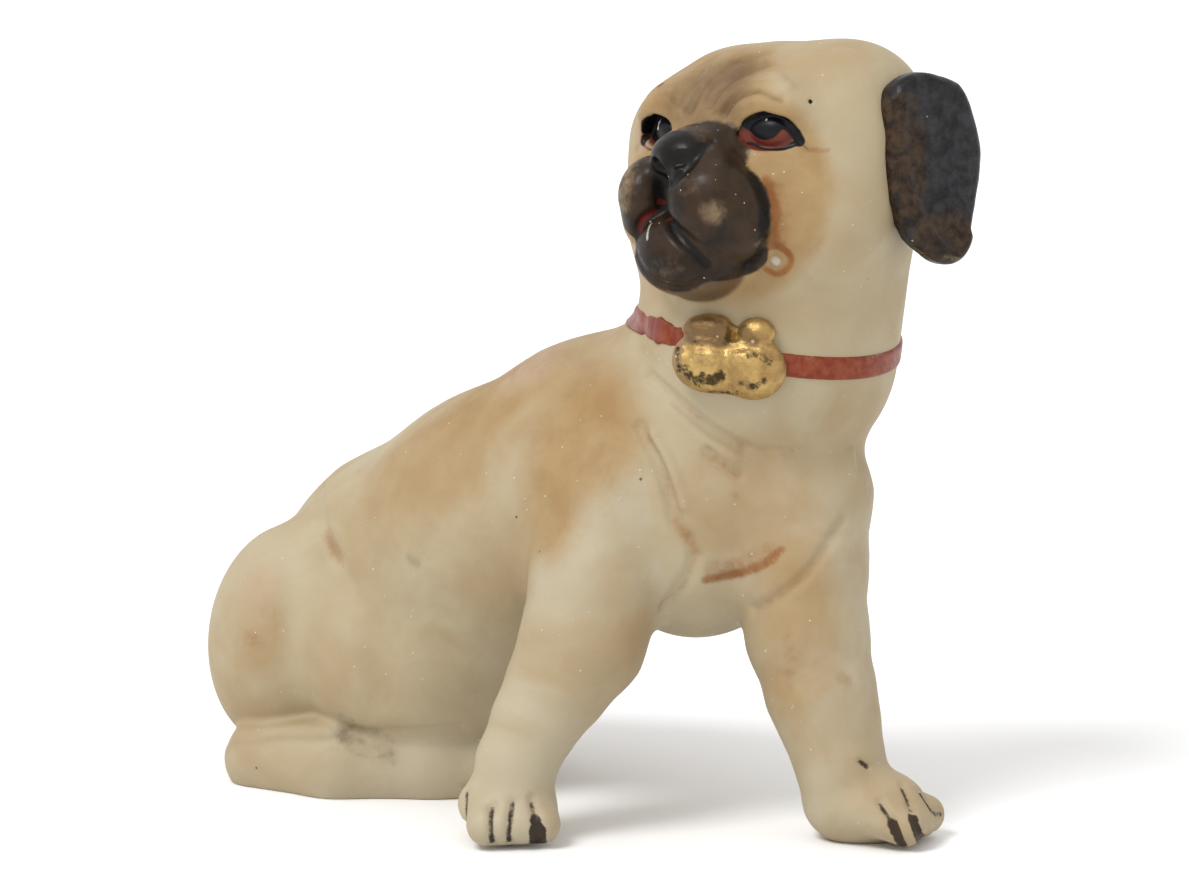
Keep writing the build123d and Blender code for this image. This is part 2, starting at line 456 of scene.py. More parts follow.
upper_lid = [(6.2, 7), (7, 8.4), (9.3, 9.2), (11.3, 8), (12.6, 5.6), (13.6, 4.6)]
lower_lid = [(6.2, 7), (6.9, 5.8), (8.8, 5), (11, 5), (12.6, 5.6)]
lid_fold = [(5, 9.2), (6.6, 10.6), (9.2, 11), (11.6, 9.8), (13.4, 7.4)]
brow_low = [(3.6, 9.6), (4.6, 10.9), (6.4, 11.9), (8.6, 12.2), (11, 11)]
brow_high = [(2.4, 10), (3.6, 11.8), (5.6, 13.2), (8, 13.6), (10.6, 12.4)]
wrinkle_a = [(0.9, 10.6), (1.4, 12.4), (3, 14), (5.4, 15)]
wrinkle_b = [(-0.6, 11.2), (-0.4, 13.4), (0.8, 15), (3.4, 16.2)]
wrinkle_c = [(-2.3, 10.1), (-1.9, 12), (-1.2, 13.8), (0.2, 15.6)]
wrinkle_d = [(-4.6, 10.2), (-4.9, 12), (-4.2, 14)]
brow_far = [(-4.2, 9.8), (-6.4, 11.2), (-8.6, 11), (-11, 9.4)]
nostril = [(0.6, 3.2), (1.4, 4.2), (2.6, 4.8), (3.6, 4.7), (3.7, 4)]
nose_wing = [(4.7, 6.6), (4.5, 5.4), (4.1, 4.1), (3.2, 3), (1.6, 1.8)]
philtrum = [(-1.6, 3), (-1.7, 1), (-1.5, -1.2)]
mouth_near = [(-1.6, -0.9), (-0.4, -2.4), (1.3, -3.8), (3.2, -5.4), (4.7, -7), (5.6, -8.6)]
mouth_far = [(-1.4, -1.2), (-2.8, -2), (-4.4, -2.9), (-5.7, -4.4), (-6.4, -6.4)]
jaw_rim = [(-5, -7.4), (-3.2, -9.6), (-0.6, -11), (2.2, -11.4), (4.4, -10.5)]
cheek_fold = [(7, 5), (8.2, 3.4), (9.2, 1.4), (10.4, -1.2), (10.9, -3.8)]
shoulder_crease = [(5.7, 52.4), (7.8, 48.8), (9.4, 44.4), (10.2, 40.8), (11.8, 38.6), (12.6, 36.4)]
elbow_crease = [(12.6, 36.4), (11.8, 33.8), (10.6, 31.8), (8.9, 29.6)]
throat_crease = [(7, 58.4), (11.6, 55), (14.6, 52.6), (18.7, 50.2)]
throat_end = [(18.7, 50.2), (21, 49.7), (25, 49.6)]
breast_crease = [(14.2, 49.7), (16.7, 47.6), (18.1, 46.8)]
far_crease = [(20, 29.6), (23.4, 31.9), (26.8, 34.8), (29.4, 38.2), (31.2, 40.8)]
shoulder_nub = [(32.3, 48.6), (32.6, 46.4), (34, 45.2)]
flank_crease = [(-35.8, 37.4), (-34.8, 33.4), (-32.8, 30.4), (-31.4, 27.6)]
haunch_edge = [(-31.4, 27.6), (-28.4, 21), (-27.6, 14)]
foot_crease = [(-47.6, 5.4), (-42.6, 6.9), (-38, 7.8), (-27.6, 9), (-17.3, 9.7)]
foot_dirt = [(-32, 9.6), (-29.6, 7.4), (-27, 6.4)]
near_claws = [
    [(-16.3, 6.4), (-16.4, 4), (-16.2, 1.2)],
    [(-12.8, 5.6), (-12.9, 3.4), (-12.8, 1)],
    [(-10.3, 6), (-10.6, 3.6), (-10.7, 1)],
    [(-7.8, 6.4), (-7.4, 4), (-7.2, 1)],
]
far_claws = [
    [(35.9, 6.4), (37.2, 4.2), (38.8, 1)],
    [(38.8, 8), (39.9, 5.2), (41.4, 1)],
    [(41.2, 6.6), (42.8, 4.2), (44, 3.2)],
]
ankle_nick = [(33.4, 11), (34.4, 10.2)]
pinhole = [(13, 10.3)]
cheek_ring = [(21, 76.4), (22.9, 76.7), (24.3, 75.6), (24.2, 74), (22.8, 73.1), (21.4, 73.6)]

CREASES = [
    (SKULL, *crease) for crease in [
        (upper_lid, 0.4, 0.4), (far(upper_lid), 0.4, 0.4),
        (lower_lid, 0.35, 0.25), (far(lower_lid), 0.35, 0.25),
        (lid_fold, 1, -0.35), (far(lid_fold), 1, -0.35),
        (brow_low, 0.7, 0.6), (brow_high, 0.8, -0.6),
        (wrinkle_a, 0.7, 0.8), (wrinkle_b, 0.7, 0.8), (wrinkle_c, 0.7, 0.75), (wrinkle_d, 0.8, 0.6),
        (brow_far, 0.9, -0.5),
        (nostril, 0.6, 1), (nose_wing, 0.6, 0.6), (philtrum, 1.5, 0.9),
        (mouth_near, 0.7, 1.2), (mouth_far, 0.6, 0.8),
        (jaw_rim, 0.7, 0.4), (cheek_fold, 0.9, 0.35), (pinhole, 0.3, 0.5),
    ]
] + [
    (FIGURE, *crease) for crease in [
        (shoulder_crease, 0.8, 0.9), (elbow_crease, 0.7, 0.8),
        (throat_crease, 0.7, 0.8), (throat_end, 0.6, 0.3),
        ([(7.2, 51.4), (9.6, 47.6), (11.2, 43)], 0.8, -0.6), (breast_crease, 0.7, 0.7),
        ([(9.6, 54.6), (13.6, 51.4), (17.6, 49)], 0.8, -0.35),
        (far_crease, 0.7, 0.8), (shoulder_nub, 0.6, -0.5),
        (flank_crease, 0.9, 0.9), (haunch_edge, 2.4, 0.6), (foot_crease, 0.8, 0.5),
        (ankle_nick, 0.4, 0.5),
    ] + [(claw, 0.55, 0.55) for claw in near_claws + far_claws]
]
EAR_CREASES = [
    (EAR, *crease) for crease in [
        ([(-4.2, 4.6), (-4.9, 0), (-4.6, -6), (-3, -11), (-0.6, -15)], 1, -0.6),
        ([(-2.8, 3), (-3.2, -2), (-2.8, -7), (-1.2, -11.6)], 1.7, 0.3),
        ([(-0.4, -15.6), (2.2, -16.2), (4.4, -14.4)], 0.8, -0.5),
        ([(0.6, -12.8), (2.8, -12.4)], 1.2, 0.5),
        ([(1.4, 2), (1.8, -3), (1.2, -8)], 2.4, 0.5),
    ]
]


# ------ coats of colour

COATS = ["tan", "pink", "brown", "dark", "black", "red", "grey", "orange", "white", "iris", "ink", "wear"]

# Airbrushed zones, and a few zones of painted shade: coat, middle, radii, softness, strength and any tilt
# about the place's y axis.
# A negative strength wipes a coat away.
ON_FACE = [
    ("tan", (2, -14, 0), (15.8, 10, 14.5), 3.5, 0.8),
    ("tan", (-4, -8, 12), (12, 9, 6), 5, 0.8),
    ("brown", (0, -12, 11), (7.5, 8, 6), 7, 0.58),
    ("brown", (-0.5, -8, 14.2), (5, 6, 3), 7, 0.22),
    ("brown", (1, -20, -2), (8, 9, 9), 3, 1),
    ("dark", (3.8, -20, -2.4), (8, 9, 7.6), 1.2, 1),
    ("dark", (-4.6, -22, 0), (5.2, 7, 6), 1.2, 1),
    ("dark", (3, -18, 4.8), (5.4, 7, 4.4), 2, 0.85),
    ("dark", (-0.2, -21, -7), (6.8, 7, 5.2), 1.4, 1),
    ("dark", (5.2, -18, -7.2), (4.6, 8, 3.8), 1, 1),
    ("brown", (0.4, -20, -9.3), (6.9, 8, 4.9), 1, 1),
    ("dark", (7.8, -24, -2), (1.3, 5, 1.6), 3.4, -0.66),
    ("dark", (4.6, -24, 1.4), (2.2, 5, 1.6), 2.4, -0.34),
    ("dark", (-7.2, -22, 1.2), (2.6, 5, 4), 3, -0.35),
    ("dark", (0.4, -24, -8.6), (3.4, 4, 1.8), 2.4, -0.34),
    ("black", (0.4, -21, 4.5), (4.5, 5, 3.6), 1, 0.95),
    ("iris", (9, -13, 6.8), (3.5, 4, 2.2), 0.5, 1),
    ("iris", (-8.3, -13, 7), (3.3, 4, 2.1), 0.5, 1),
    ("ink", (9.1, -13, 7.7), (2, 4, 1.7), 0.5, 1),
    # Painted shade of the upper lid, dark across the top of the near eye.
    ("ink", (8.9, -13, 7.9), (2.9, 4, 1.15), 0.4, 0.9),
    ("ink", (-8.2, -13, 7.2), (3.4, 4.5, 2.1), 0.5, 1),
]
ON_BODY = [
    ("tan", (0, -20, 50), (7.5, 9, 8.5), 8, 0.9),
    ("tan", (-5, -22, 41), (4.2, 8, 7.5), 7, 0.8),
    ("tan", (-20, -8, 46), (17, 13, 9), 13, 0.55, -30),
    ("tan", (-4, -2, 60), (18, 18, 7), 8, 0.5, -38),
    ("tan", (19, -27, 43), (11, 7, 10), 8, 0.42),
    ("tan", (26, -30, 26), (6, 6, 12), 6, 0.5),
    ("tan", (4, -26, 28), (5, 6, 8), 6, 0.3),
    ("tan", (-43, 0, 22), (4, 8, 7), 5, 0.5),
    ("orange", (-44.2, 0, 19.8), (1.6, 6, 1.6), 3.4, 0.4),
    # Painted shade: grey low on the flank and belly, darker towards the bottom.
    ("grey", (-18, -12, 30), (14, 12, 8), 10, 0.25),
    ("pink", (-44, 3, 26), (3, 6, 4), 5, 0.5),
    ("pink", (-8, -6, 57), (5, 8, 3), 5, 0.6, -38),
    # More painted shade, low on the flank and haunch.
    ("grey", (-26, -8, 18), (12, 10, 7), 10, 0.15),
]
ZONES = [
    (coat, egg(place, at, radii, [("y", tilt) for tilt in tilts]), soft, strength)
    for place, zones in ((SKULL, ON_FACE), (FIGURE, ON_BODY))
    for coat, at, radii, soft, strength, *tilts in zones
]
# Brush strokes, some of them painted highlights and shade: coat, place, points, half width, softness,
# strength.
STROKES = [(coat, SKULL, *stroke) for coat, *stroke in [
    ("black", upper_lid[:5], 0.3, 0.4, 1), ("black", far(upper_lid[:5]), 0.3, 0.4, 1),
    ("black", upper_lid[3:], 0.1, 0.4, 0.9),
    ("black", lower_lid, 0.25, 0.45, 1), ("black", far(lower_lid), 0.1, 0.4, 0.85),
    # Painted shade under the outer half of the near upper lid, then a darker lower lid line.
    ("ink", upper_lid[2:5], 0.4, 0.7, 0.85), ("ink", lower_lid[1:], 0.1, 0.45, 0.75),
    ("orange", [(13.6, 4.5), (15.3, 4.2)], 0.15, 0.6, 0.5),
    # Painted highlights: a glint on each eye, and a light streak under the near eye.
    ("white", [(9.2, 8.5)], 0.14, 0.16, 0.8), ("white", [(-8.6, 8.4), (-8.7, 7.4)], 0.16, 0.2, 0.9),
    ("white", [(7.8, 4.5), (8.4, 4.4)], 0.05, 0.25, 0.5),
    ("pink", [(-12, 6.6), (-11.4, 5.2)], 0.8, 0.8, 0.9),
    ("brown", wrinkle_a[:3], 0, 0.9, 0.5), ("brown", wrinkle_b[:3], 0, 0.9, 0.5),
    ("brown", wrinkle_c, 0.1, 0.9, 0.5), ("brown", brow_low, 0.1, 0.7, 0.5),
    ("red", [(-9.3, 12.7)], 0.4, 0.6, 0.6),
    ("black", nostril, 0.5, 0.4, 1), ("black", nose_wing, 0.3, 0.7, 0.7),
    ("black", philtrum, 1.5, 0.6, 1),
    ("black", mouth_near, 0.5, 0.5, 1), ("black", mouth_far, 0.4, 0.4, 0.8),
    ("red", [(-2.4, -1), (-1.4, -1.6), (-0.6, -2.4)], 0.5, 0.5, 0.9),
    ("red", [(-0.6, -2.6), (0.6, -3.9), (2, -5.2)], 0, 0.4, 0.6),
    ("red", mouth_far[1:], 0.35, 0.4, 0.9),
    ("black", jaw_rim, 0.2, 0.6, 0.5),
    # Painted highlight on the chin.
    ("white", [(-3.2, -3.4), (-2.9, -4.4), (-2.5, -5.2)], 0.15, 0.25, 0.6),
    ("orange", [(13.2, -8.6), (15, -7.8), (16.2, -6.1)], 0.2, 0.9, 0.3),
    ("orange", [(11.8, -12), (14.6, -10.6), (16.4, -8.4)], 0.2, 1, 0.3),
    ("ink", pinhole, 0.28, 0.15, 1),
]] + [(coat, FIGURE, *stroke) for coat, *stroke in [
    ("black", [(19.6, 85.4), (20.9, 82.4), (21.2, 79.4), (20.6, 76.4), (19, 74.2)], 0.5, 1.8, 0.7),
    ("orange", [(21.3, 85), (22.2, 82.2), (22.5, 79.9), (22.1, 77.5)], 0, 1.3, 0.85),
    ("orange", [(22.4, 84), (23.6, 80.6), (23.6, 78)], 0.3, 2.2, 0.35),
    ("orange", cheek_ring, 0.05, 0.9, 0.9),
    ("white", [(22.6, 74.8)], 0.3, 1, 0.6),
    ("orange", [(13.8, 33.2), (17.6, 34), (21, 35.5), (23.6, 37.6)], 0.2, 0.8, 0.6),
    ("orange", [(15, 34.4), (18.6, 35.4), (21.8, 37)], 0.5, 2.4, 0.4),
    ("orange", shoulder_crease, 0.1, 0.9, 0.7), ("orange", shoulder_crease[3:], 0.4, 1.4, 0.35),
    ("orange", elbow_crease, 0.1, 0.9, 0.7), ("orange", throat_crease, 0.1, 0.9, 0.66),
    ("orange", throat_end, 0, 0.6, 0.6),
    ("orange", breast_crease, 0.1, 1, 0.62), ("orange", far_crease, 0.1, 0.9, 0.6),
    ("orange", [(17.4, 44.2)], 0.4, 1.4, 0.35),
    ("orange", flank_crease, 0.1, 0.9, 0.4), ("orange", flank_crease[1:3], 0.4, 1.6, 0.4),
    ("grey", foot_crease[:4], 0.1, 0.8, 0.4),
    ("grey", foot_dirt, 0.3, 3, 0.4), ("dark", foot_dirt, 1.6, 2.4, 0.36),
    ("grey", [(-23.6, 32.8), (-22.6, 32.2)], 0.3, 0.6, 0.5),
    ("orange", [(24.5, 27), (24.6, 21)], 0.3, 2.4, 0.35),
    ("orange", [(31.5, 21.4)], 0.3, 2.4, 0.4),
    ("dark", ankle_nick, 0.2, 0.4, 0.9),
] + [("dark", claw, 0.3, 0.35, 0.9) for claw in near_claws[:3] + far_claws[2:]] + [
    ("dark", [(-7.8, 6), (-7.4, 4)], 0.25, 0.4, 1),
    ("dark", [(-7.4, 4.2), (-7.2, 2.8)], 0.5, 0.4, 1),
    ("dark", [(-7.2, 2.6), (-7, 0.8)], 0.9, 0.4, 1),
    ("dark", [(35.9, 6.2), (37.1, 4.3)], 0.25, 0.35, 1),
    ("dark", [(37.4, 3.8), (38.6, 0.8)], 0.55, 0.4, 1),
    ("dark", [(38.8, 7.6), (39.8, 5.4)], 0.25, 0.35, 1),
    ("dark", [(40, 4.8), (41.2, 1)], 0.55, 0.4, 1),
]]
EAR_ZONES = [
    ("brown", egg(EAR, (-4.8, 0, -3), (3.4, 6, 9)), 5, 1),
    ("brown", egg(EAR, (0.8, 0, -14), (5, 6, 3.6)), 3, 1),
]
EAR_STROKES = [
    # Lighter streaks on the rolled front rim and the tip's curl: rubbed wear and painted highlight.
    ("wear", EAR, [(-4.8, 2), (-5.2, -4), (-4.2, -9)], 0.2, 0.7, 0.5),
    ("wear", EAR, [(-0.4, -15.8), (2.2, -16.6), (4.6, -14.6)], 0.3, 0.6, 0.75),
    ("wear", EAR, [(-1, 0), (-0.6, -5)], 0.4, 1.6, 0.35),
]
EDGE_WEAR = 0.6    # how far in from the band's edges its enamel is worn, mm
BAND_ZONES = [
    ("pink", egg(FIGURE, (4, -22, 66), (4.6, 12, 6)), 4, 1),
    ("wear", lambda p: -EDGE_WEAR - band_edge(p), 1.2, 0.45),
]
BAND_CREASES = [
    (FIGURE, [(6.6, 65.6), (6.4, 63.4)], 0.8, 0.2),
    (FIGURE, [(8.4, 65.8), (8, 63)], 0.6, -0.35),
    (FIGURE, [(10.2, 65.4), (10.2, 62.4)], 0.8, 0.2),
]
BAND_STROKES = [
    ("wear", FIGURE, [(26.5, 62), (31, 60.6), (36, 61.4)], 0.1, 0.7, 0.4),
    ("dark", FIGURE, [(35, 61.2)], 0.15, 0.3, 0.9),
]
BOW_CREASES = [
    (BOW, [(-0.2, 1.4), (0, -1), (0.2, -4)], 0.8, 0.5),
    (BOW, [(-6.2, 1.2), (-3.4, 1.8), (0, 1.6), (3.2, 1.8), (6, 0.8)], 0.6, 0.4),
    (BOW, [(-5.4, 2.6), (-4.6, -1), (-4.8, -3.6)], 0.7, 0.3),
    (BOW, [(0.4, 4.6), (0.6, 2.6)], 0.6, 0.6),
]
BOW_STROKES = [
    ("dark", BOW, [(-5.2, -1.4), (-4.6, -2.4), (-3.6, -3.2)], 0.3, 1, 0.9),
    ("dark", BOW, [(-2.8, -2.2), (-1.6, -2.6), (-0.6, -2)], 0.4, 1, 0.9),
    ("dark", BOW, [(-2.4, -4.2), (0, -4.6), (1.6, -4.2)], 0.2, 0.9, 0.75),
    ("dark", BOW, [(2.2, -2.6), (3.4, -3.2), (4.8, -2.4)], 0.2, 0.9, 0.8),
    ("dark", BOW, [(3, 1), (4.4, 0.8), (5.6, 0)], 0.2, 0.8, 0.7),
    ("dark", BOW, [(-6.6, 1), (-6.2, -1.6)], 0.2, 0.6, 0.7),
    ("dark", BOW, [(-0.2, 2), (0.2, 3.2)], 0.3, 0.6, 0.7),
    ("dark", BOW, [(-4.6, 2.2), (-2.4, 1.8)], 0.1, 0.8, 0.6),
    ("brown", BOW, [(-4.6, 3.4), (-2.4, 3.6), (-1, 3)], 1, 1.4, 1),
    ("brown", BOW, [(2, 3.6), (3, 2.4)], 0.6, 1, 0.8),
    ("wear", BOW, [(-6.2, 2), (-6.6, -0.4), (-5.6, -3)], 0.7, 0.9, 0.95),
    ("wear", BOW, [(-3.6, 0.4), (-2, 0.2)], 0.8, 1.2, 0.5),
    ("wear", BOW, [(-1, -5), (1.4, -5.4), (3.6, -5.4)], 0.5, 1, 0.7),
]


def ease(t):
    t = np.clip(t, 0, 1)
    return t * t * (3 - 2 * t)


def coats_on(points, zones, strokes):
    """How much of each coat lies at each point."""
    amounts = {coat: np.zeros(len(points), np.float32) for coat in COATS}
    for coat, zone, soft, strength in zones:
        amount = strength * ease(0.5 - zone(points) / soft)
        if strength > 0:
            amounts[coat] += amount * (1 - amounts[coat])
        else:
            amounts[coat] *= 1 + amount
    for coat, line, wide, soft, strength in strokes:
        chosen, gap = line.near(points, wide + soft)
        amount = strength * ease((wide + soft - gap) / soft)
        amounts[coat][chosen] += amount * (1 - amounts[coat][chosen])
    return amounts


# ------ skinning a field

BLOCK = 4           # samples along each side of the blocks that are sampled or skipped together
NEAR = 1.5          # how many blocks from the surface a block is still sampled in full
BEYOND = 3          # the distance given to the blocks that are skipped, in steps
CLOSE = 0.02        # the nearest that a cut comes to a mesh point, mm
LEAST_SHARE = 0.02  # and as a share of the edge that it crosses


def skin(field, box, step):
    """A field's surface in a box: its points in millimetres, its triangles and no caps."""
    low, high = box
    blocks = np.ceil((high - low) / (step * BLOCK)).astype(int)
    middles = np.stack(np.meshgrid(*(np.arange(n) for n in blocks), indexing="ij"), -1)
    middles = middles.reshape(-1, 3)
    at = (low + (middles * BLOCK + (BLOCK - 1) / 2) * step).astype(np.float32)
    rough = in_chunks(field, at)
    values = BEYOND * step * np.sign(rough).reshape(blocks).astype(np.float32)
    for axis in range(3):
        values = np.repeat(values, BLOCK, axis)
    near = middles[np.abs(rough) < BLOCK * step * NEAR]
    inner = np.stack(np.meshgrid(*(np.arange(BLOCK),) * 3, indexing="ij"), -1).reshape(1, -1, 3)
    cells = (near[:, None, :] * BLOCK + inner).reshape(-1, 3)
    values[tuple(cells.T)] = in_chunks(field, (low + cells * step).astype(np.float32))
    grid = openvdb.FloatGrid(BEYOND * step)
    grid.copyFromArray(values)
    points, quads = grid.convertToQuads(0.0)
    points = settle(field, (low + points * step).astype(np.float32), 0.5 * step)
    return points, np.concatenate([quads[:, [0, 1, 2]], quads[:, [0, 2, 3]]]), 0


def islands(count, pairs):
    """A label for each point, the same for all points that pairs connect."""
    label = np.arange(count)
    while True:
        lowest = np.minimum(label[pairs[:, 0]], label[pairs[:, 1]])
        new = label.copy()
        np.minimum.at(new, pairs[:, 0], lowest)
        np.minimum.at(new, pairs[:, 1], lowest)
        new = new[new]
        if np.array_equal(new, label):
            return label
        label = new


def one_island(side, pairs):
    """Signed sides with every patch but the largest on each side turned over."""
    inside = side < 0
    same = pairs[inside[pairs[:, 0]] == inside[pairs[:, 1]]]
    label = islands(len(side), same)
    for patch in (inside, ~inside):
        names, sizes = np.unique(label[patch], return_counts=True)
        stray = patch & (label != names[np.argmax(sizes)])
        side = np.where(stray, np.where(inside, CLOSE, -CLOSE), side)
    return side


def cut(points, triangles, side):
    """The closed parts of a mesh where side is negative and where it is positive."""
    side = np.where(np.abs(side) < CLOSE, CLOSE, side)
    pairs = np.concatenate([triangles[:, [0, 1]], triangles[:, [1, 2]], triangles[:, [2, 0]]])
    side = one_island(side, pairs)
    inside = side[triangles] < 0
    held = inside.sum(1)
    crossing = (held == 1) | (held == 2)
    lone = np.where(held[crossing] == 1, inside[crossing].argmax(1), (~inside[crossing]).argmax(1))
    turned = (lone[:, None] + np.arange(3)) % 3
    a, b, c = np.take_along_axis(triangles[crossing], turned, 1).T
    ends = np.stack([np.stack([a, b], 1), np.stack([a, c], 1)])
    edges, where = np.unique(np.sort(ends.reshape(-1, 2), 1), axis=0, return_inverse=True)
    share = side[edges[:, 0]] / (side[edges[:, 0]] - side[edges[:, 1]])
    share = np.clip(share, LEAST_SHARE, 1 - LEAST_SHARE)[:, None]
    added = points[edges[:, 0]] * (1 - share) + points[edges[:, 1]] * share
    near_b, near_c = where.reshape(2, -1) + len(points)
    loops = islands(len(edges), np.stack([near_b, near_c], 1) - len(points))
    names, member = np.unique(loops, return_inverse=True)
    middles = np.stack([added[member == i].mean(0) for i in range(len(names))])
    middle = member[near_b - len(points)] + len(points) + len(edges)
    every = np.concatenate([points, added, middles]).astype(np.float32)
    tip = np.stack([a, near_b, near_c], 1)
    rest = np.concatenate([np.stack([near_b, b, c], 1), np.stack([near_b, c, near_c], 1)])
    tip_cap = np.stack([near_c, near_b, middle], 1)
    rest_cap = np.stack([near_b, near_c, middle], 1)
    tip_in = held[crossing] == 1
    rest_in = np.concatenate([~tip_in, ~tip_in])
    parts = []
    for whole, chosen in ((held == 3, True), (held == 0, False)):
        outer = [triangles[whole], tip[tip_in == chosen], rest[rest_in == chosen]]
        caps = np.concatenate([tip_cap[tip_in == chosen], rest_cap[tip_in != chosen]])
        parts.append(tidied(every, np.concatenate(outer), caps))
    return parts


def tidied(points, outer, caps):
    """A part's own points, its triangles, and how many of the last ones are caps."""
    triangles = np.concatenate([outer, caps])
    used, renamed = np.unique(triangles, return_inverse=True)
    return points[used], renamed.reshape(-1, 3), len(caps)


def make_piece(name, points, triangles, caps, field):
    """A mesh object whose shading follows the field itself."""
    mesh = bpy.data.meshes.new(name)
    mesh.vertices.add(len(points))
    mesh.vertices.foreach_set("co", (points * MM).ravel())
    mesh.loops.add(triangles.size)
    mesh.loops.foreach_set("vertex_index", triangles.astype(np.int32).ravel())
    mesh.polygons.add(len(triangles))
    mesh.polygons.foreach_set("loop_start", np.arange(0, triangles.size, 3, dtype=np.int32))
    smooth = np.ones(len(triangles), bool)
    smooth[len(triangles) - caps:] = False
    mesh.polygons.foreach_set("use_smooth", smooth)
    mesh.update(calc_edges=True)
    slope = slope_of(field, points, SHADING_PROBE)
    slope /= np.maximum(length(slope), 1e-6)[:, None]
    mesh.normals_split_custom_set_from_vertices(slope)
    piece = bpy.data.objects.new(name, mesh)
    bpy.context.scene.collection.objects.link(piece)
    return piece


def paint(piece, amounts):
    """Stores the coats as colour attributes, three coats to each."""
    for first in range(0, len(COATS), 3):
        layer = piece.data.attributes.new(f"coats_{first // 3}", "FLOAT_COLOR", "POINT")
        rows = [amounts[coat] for coat in COATS[first:first + 3]]
        rows.append(np.ones_like(rows[0]))
        layer.data.foreach_set("color", np.stack(rows, 1).astype(np.float32).ravel())


# ------ materials

GLAZE_STRENGTH = 0.63    # a glaze's own brightness, as a share of its look in the studio's light
COAT_ROUGHNESS = 0.2
SHIFT = (37, -23, 11)    # moves one pattern away from another, mm


def srgb(r, g, b):
    """A glaze's linear colour from the 0 to 255 values it shows in the studio's light."""
    parts = [v / 255 for v in (r, g, b)]
    linear = [v / 12.92 if v < 0.04 else ((v + 0.055) / 1.055) ** 2.4 for v in parts]
    return tuple(GLAZE_STRENGTH * v for v in linear) + (1,)


class Paints:
    """A material's nodes, with patterns sized in millimetres."""

    def __init__(self, name):
        self.material = bpy.data.materials.new(name)
        self.material.use_nodes = True
        self.tree = self.material.node_tree
        self.shader = self.tree.nodes["Principled BSDF"]
        spot = self.node("ShaderNodeVectorMath", operation="SCALE")
        self.put(spot, {0: self.node("ShaderNodeTexCoord").outputs["Object"], "Scale": 1 / MM})
        self.at = spot.outputs[0]

    def node(self, kind, **settings):
        made = self.tree.nodes.new(kind)
        for key, value in settings.items():
            setattr(made, key, value)
        return made

    def link(self, source, socket):
        """Connects a socket, or sets it from a plain value."""
        if isinstance(source, bpy.types.NodeSocket):
            self.tree.links.new(source, socket)
        else:
            socket.default_value = source

    def put(self, made, values):
        """Sets or connects a node's inputs, by their names or numbers."""
        for key, value in values.items():
            self.link(value, made.inputs[key])

    def noise(self, size, detail, rough, distortion, shift):
        made = self.node("ShaderNodeTexNoise")
        self.put(made, {"Vector": self.shifted(shift), "Scale": 1 / size, "Detail": detail,
                        "Roughness": rough, "Distortion": distortion})
        return made.outputs["Fac"]

    def shifted(self, shift):
        made = self.node("ShaderNodeVectorMath", operation="ADD")
        self.put(made, {0: self.at, 1: [shift * along for along in SHIFT]})
        return made.outputs[0]

    def dots(self, size, share, radius, shift):
        """Round specks: one in each cell of this size, kept for a share of the cells."""
        made = self.node("ShaderNodeTexVoronoi")
        self.put(made, {"Vector": self.shifted(shift), "Scale": 1 / size})
        split = self.node("ShaderNodeSeparateColor")
        self.link(made.outputs["Color"], split.inputs[0])
        kept = self.math("GREATER_THAN", split.outputs[0], 1 - share)
        small = self.times(split.outputs[1], radius / size)
        spot = self.math("LESS_THAN", made.outputs["Distance"], small)
        return self.times(kept, spot)

    def math(self, operation, a, b):
        made = self.node("ShaderNodeMath", operation=operation)
        self.put(made, {0: a, 1: b})
        return made.outputs[0]

    def times(self, a, b):
        return self.math("MULTIPLY", a, b)

    def plus(self, a, b):
        return self.math("ADD", a, b)

    def minus(self, a, b):
        return self.math("SUBTRACT", a, b)

    def most(self, a, b):
        return self.math("MAXIMUM", a, b)

    def wander(self, noise, amount):
        """A noise centred on nothing, with this much between its lowest and its highest."""
        return self.times(self.minus(noise, 0.5), amount)

    def between(self, value, low, high, to_low=0, to_high=1):
        """A smooth rise from to_low to to_high as value goes from low to high."""
        made = self.node("ShaderNodeMapRange", interpolation_type="SMOOTHSTEP")
        self.put(made, {"Value": value, "From Min": low, "From Max": high, "To Min": to_low,
                        "To Max": to_high})
        return made.outputs["Result"]

    def mix(self, share, a, b):
        made = self.node("ShaderNodeMix", data_type="RGBA")
        colours = [s for s in made.inputs if s.type == "RGBA"]
        self.link(share, made.inputs[0])
        self.link(a, colours[0])
        self.link(b, colours[1])
        return [s for s in made.outputs if s.type == "RGBA"][0]

    def blend(self, share, a, b):
        """A number between a and b."""
        return self.plus(a, self.times(share, self.minus(b, a)))

    def coat(self, name):
        index = COATS.index(name)
        found = self.node("ShaderNodeAttribute", attribute_name=f"coats_{index // 3}")
        split = self.node("ShaderNodeSeparateColor")
        self.link(found.outputs["Color"], split.inputs[0])
        return split.outputs[index % 3]

    def bump(self, height):
        """Relief from a height in millimetres."""
        made = self.node("ShaderNodeBump")
        self.put(made, {"Distance": MM, "Height": height})
        self.link(made.outputs[0], self.shader.inputs["Normal"])

    def finish(self, colour, roughness, specular, coat, metallic=0):
        self.put(self.shader, {"Base Color": colour, "Roughness": roughness,
                               "Specular IOR Level": specular, "Coat Weight": coat,
                               "Coat Roughness": COAT_ROUGHNESS, "Metallic": metallic})
        return self.material


